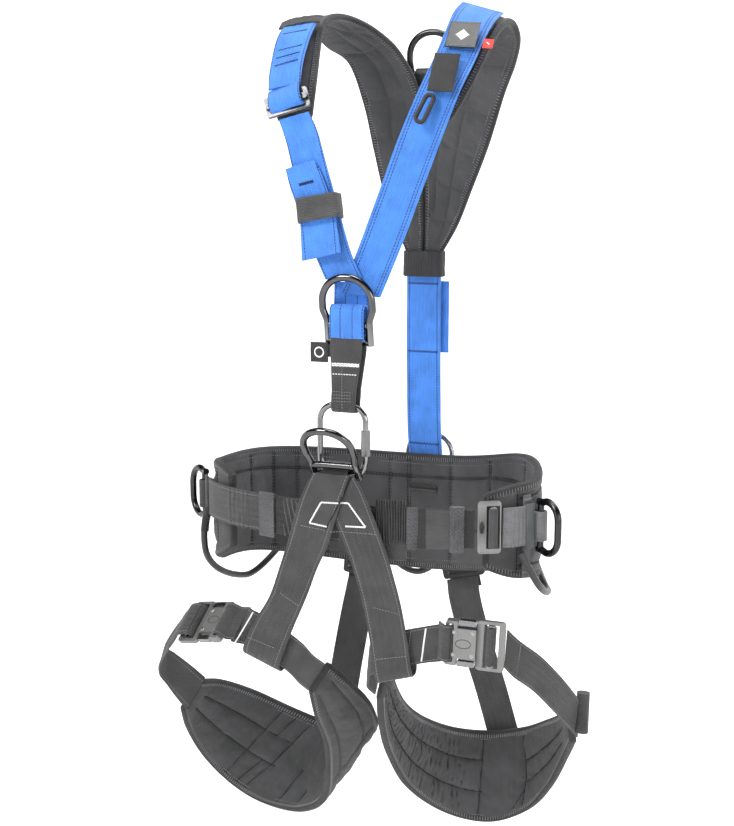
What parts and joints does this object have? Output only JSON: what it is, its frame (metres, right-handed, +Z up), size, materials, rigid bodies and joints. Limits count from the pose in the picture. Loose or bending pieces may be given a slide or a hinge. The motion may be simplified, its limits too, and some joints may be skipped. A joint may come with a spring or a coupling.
{
  "type": "full body safety harness",
  "caption": "Full body harness of blue and dark webbing with a padded waist belt, padded leg loops, shoulder pads, metal attachment rings and a quick link.",
  "frame": {"origin": "on the wearer's axis at the mid-height of the waist pad at the hips", "axes": "+Z up along the standing wearer; the wearer faces -Y; +X is the wearer's left"},
  "size_m": [0.5342, 0.3615, 1.0139],
  "materials": {
    "blue_webbing": "woven polyester with dark stitching",
    "dark_webbing": "woven polyester",
    "pad_fabric": "quilted mesh and bound edges",
    "elastic": "ribbed elastic and loop tape",
    "label_cloth": "printed cloth",
    "cord_sheath": "sheathed cord, matt",
    "steel": "polished forging",
    "dark_alloy": "dark anodised",
    "buckle_alloy": "satin anodised",
    "black_plastic": "matt moulded"
  },
  "bodies": {
    "harness": {"attachment_tag": "label_cloth", "back_strap": "blue_webbing", "bridge_strap_left": "dark_webbing", "bridge_strap_right": "dark_webbing", "bridge_top_loop": "dark_webbing", "dorsal_plate": "black_plastic", "gather_band": "elastic", "leg_buckle_body_left": "buckle_alloy", "leg_buckle_body_right": "buckle_alloy", "leg_front_strap_left": "dark_webbing", "leg_front_strap_right": "dark_webbing", "leg_outer_strap_left": "dark_webbing", "leg_outer_strap_right": "dark_webbing", "leg_pad_left": "pad_fabric", "leg_pad_right": "pad_fabric", "rear_riser_left": "dark_webbing", "rear_riser_right": "dark_webbing", "ring_holders": "dark_webbing", "riser_buckles": "black_plastic", "shoulder_adjuster_frame": "steel", "shoulder_labels": "label_cloth", "shoulder_pad_left": "pad_fabric", "shoulder_pad_right": "pad_fabric", "shoulder_strap_left": "blue_webbing", "shoulder_strap_right_lower": "blue_webbing", "shoulder_strap_right_upper": "blue_webbing", "sternal_link_webbing": "dark_webbing", "sternal_strap_joint": "blue_webbing", "waist_buckle_frame": "steel", "waist_keepers": "elastic", "waist_pad": "pad_fabric", "waist_webbing_left": "dark_webbing", "waist_webbing_outer": "dark_webbing", "waist_webbing_right": "dark_webbing"},
    "dorsal_ring": {"dorsal_ring": "steel"},
    "sternal_ring": {"sternal_ring": "steel"},
    "ventral_ring": {"ventral_ring": "steel"},
    "side_ring_right": {"side_ring_right": "dark_alloy"},
    "side_ring_left": {"side_ring_left": "dark_alloy"},
    "quick_link": {"quick_link": "steel"},
    "quick_link_sleeve": {"quick_link_sleeve": "steel"},
    "leg_plug_left": {"leg_buckle_plug_left": "steel"},
    "leg_adjuster_bar_left": {"leg_adjuster_bar_left": "steel"},
    "leg_lever_lower_left": {"leg_buckle_lever_lower_left": "buckle_alloy"},
    "leg_lever_upper_left": {"leg_buckle_lever_upper_left": "buckle_alloy"},
    "leg_plug_right": {"leg_buckle_plug_right": "steel"},
    "leg_adjuster_bar_right": {"leg_adjuster_bar_right": "steel"},
    "leg_lever_lower_right": {"leg_buckle_lever_lower_right": "buckle_alloy"},
    "leg_lever_upper_right": {"leg_buckle_lever_upper_right": "buckle_alloy"},
    "waist_buckle_bar": {"waist_buckle_bar": "steel"},
    "shoulder_adjuster_bar": {"shoulder_adjuster_bar": "steel"},
    "gear_loop_right": {"gear_loop_right": "cord_sheath"},
    "gear_loop_left": {"gear_loop_left": "cord_sheath"},
    "gear_loop_rear": {"gear_loop_rear": "cord_sheath"},
    "lanyard_parking_loop": {"lanyard_parking_loop": "elastic"},
    "closure_flap": {"closure_flap": "elastic"},
    "back_belt_ring": {"back_belt_ring": "steel"},
    "strap_keeper": {"strap_keeper": "elastic"}
  },
  "joints": [
    {"name": "dorsal_ring_tilt", "type": "hinge", "parent": "harness", "child": "dorsal_ring", "pos_m": [0.003, 0.141, 0.514], "axis": [1, 0, 0], "range_deg": [-70, 10]},
    {"name": "sternal_ring_tilt", "type": "hinge", "parent": "harness", "child": "sternal_ring", "pos_m": [0.008, -0.14516, 0.21323], "axis": [1, 0, 0], "range_deg": [0, 50]},
    {"name": "ventral_ring_tilt", "type": "hinge", "parent": "harness", "child": "ventral_ring", "pos_m": [-0.001, -0.161, 0.068], "axis": [1, 0, 0], "range_deg": [-6, 14]},
    {"name": "side_ring_right_swing", "type": "hinge", "parent": "harness", "child": "side_ring_right", "pos_m": [-0.2139, -0.06603, 0.009], "axis": [0, 0, 1], "range_deg": [-30, 40]},
    {"name": "side_ring_left_swing", "type": "hinge", "parent": "harness", "child": "side_ring_left", "pos_m": [0.20791, -0.07555, 0.009], "axis": [0, 0, 1], "range_deg": [-30, 40]},
    {"name": "quick_link_shift", "type": "slide", "parent": "harness", "child": "quick_link", "axis": [1, 0, 0], "range_m": [0, 0.003]},
    {"name": "quick_link_sleeve_travel", "type": "slide", "parent": "quick_link", "child": "quick_link_sleeve", "axis": [0, 0, 1], "range_m": [0, 0.0085]},
    {"name": "leg_plug_left_travel", "type": "slide", "parent": "harness", "child": "leg_plug_left", "axis": [0.9877, 0.1482, -0.0494], "range_m": [0, 0.03], "deforming": ["leg_outer_strap_left"]},
    {"name": "leg_adjuster_bar_left_travel", "type": "slide", "parent": "leg_plug_left", "child": "leg_adjuster_bar_left", "axis": [0.9877, 0.1482, -0.0494], "range_m": [-0.003, 0.003]},
    {"name": "leg_lever_lower_left_press", "type": "slide", "parent": "harness", "child": "leg_lever_lower_left", "axis": [0.0541, -0.0281, 0.9981], "range_m": [0, 0.0024], "stiffness_N_per_m": 400},
    {"name": "leg_lever_upper_left_press", "type": "slide", "parent": "harness", "child": "leg_lever_upper_left", "axis": [-0.0541, 0.0281, -0.9981], "range_m": [0, 0.0024], "stiffness_N_per_m": 400},
    {"name": "leg_plug_right_travel", "type": "slide", "parent": "harness", "child": "leg_plug_right", "axis": [-0.9366, 0.2851, -0.2036], "range_m": [0, 0.03], "deforming": ["leg_outer_strap_right"]},
    {"name": "leg_adjuster_bar_right_travel", "type": "slide", "parent": "leg_plug_right", "child": "leg_adjuster_bar_right", "axis": [-0.9366, 0.2851, -0.2036], "range_m": [-0.003, 0.003]},
    {"name": "leg_lever_lower_right_press", "type": "slide", "parent": "harness", "child": "leg_lever_lower_right", "axis": [0.0963, 0.7684, 0.6327], "range_m": [0, 0.0024], "stiffness_N_per_m": 400},
    {"name": "leg_lever_upper_right_press", "type": "slide", "parent": "harness", "child": "leg_lever_upper_right", "axis": [-0.0963, -0.7684, -0.6327], "range_m": [0, 0.0024], "stiffness_N_per_m": 400},
    {"name": "waist_buckle_bar_travel", "type": "slide", "parent": "harness", "child": "waist_buckle_bar", "axis": [0.873, 0.4878, 0], "range_m": [-0.002, 0.002]},
    {"name": "shoulder_adjuster_bar_travel", "type": "slide", "parent": "harness", "child": "shoulder_adjuster_bar", "axis": [-0.3447, 0.3332, 0.8776], "range_m": [-0.003, 0.003]},
    {"name": "gear_loop_right_swing", "type": "hinge", "parent": "harness", "child": "gear_loop_right", "pos_m": [-0.203, -0.09, -0.024], "axis": [-0.0996, -0.933, 0.3459], "range_deg": [0, 8]},
    {"name": "gear_loop_left_swing", "type": "hinge", "parent": "harness", "child": "gear_loop_left", "pos_m": [0.194, -0.106, -0.016], "axis": [-0.1579, 0.9471, -0.2793], "range_deg": [-18, 0]},
    {"name": "gear_loop_rear_swing", "type": "hinge", "parent": "harness", "child": "gear_loop_rear", "pos_m": [-0.019, 0.14, -0.088], "axis": [1, 0, 0], "range_deg": [0, 25]},
    {"name": "parking_loop_swing", "type": "hinge", "parent": "harness", "child": "lanyard_parking_loop", "pos_m": [0.0935, -0.124, 0.479], "axis": [0.9091, 0.101, -0.4041], "range_deg": [-30, 0]},
    {"name": "closure_flap_lift", "type": "hinge", "parent": "harness", "child": "closure_flap", "pos_m": [0.10235, -0.09775, 0.52005], "axis": [0.9941, 0.0864, -0.0648], "range_deg": [-60, 0]},
    {"name": "back_belt_ring_tilt", "type": "hinge", "parent": "harness", "child": "back_belt_ring", "pos_m": [0.001, 0.15, 0.018], "axis": [1, 0, 0], "range_deg": [-60, 0]},
    {"name": "strap_keeper_travel", "type": "slide", "parent": "harness", "child": "strap_keeper", "axis": [-0.1666, 0.1428, 0.9756], "range_m": [-0.004, 0]}
  ]
}
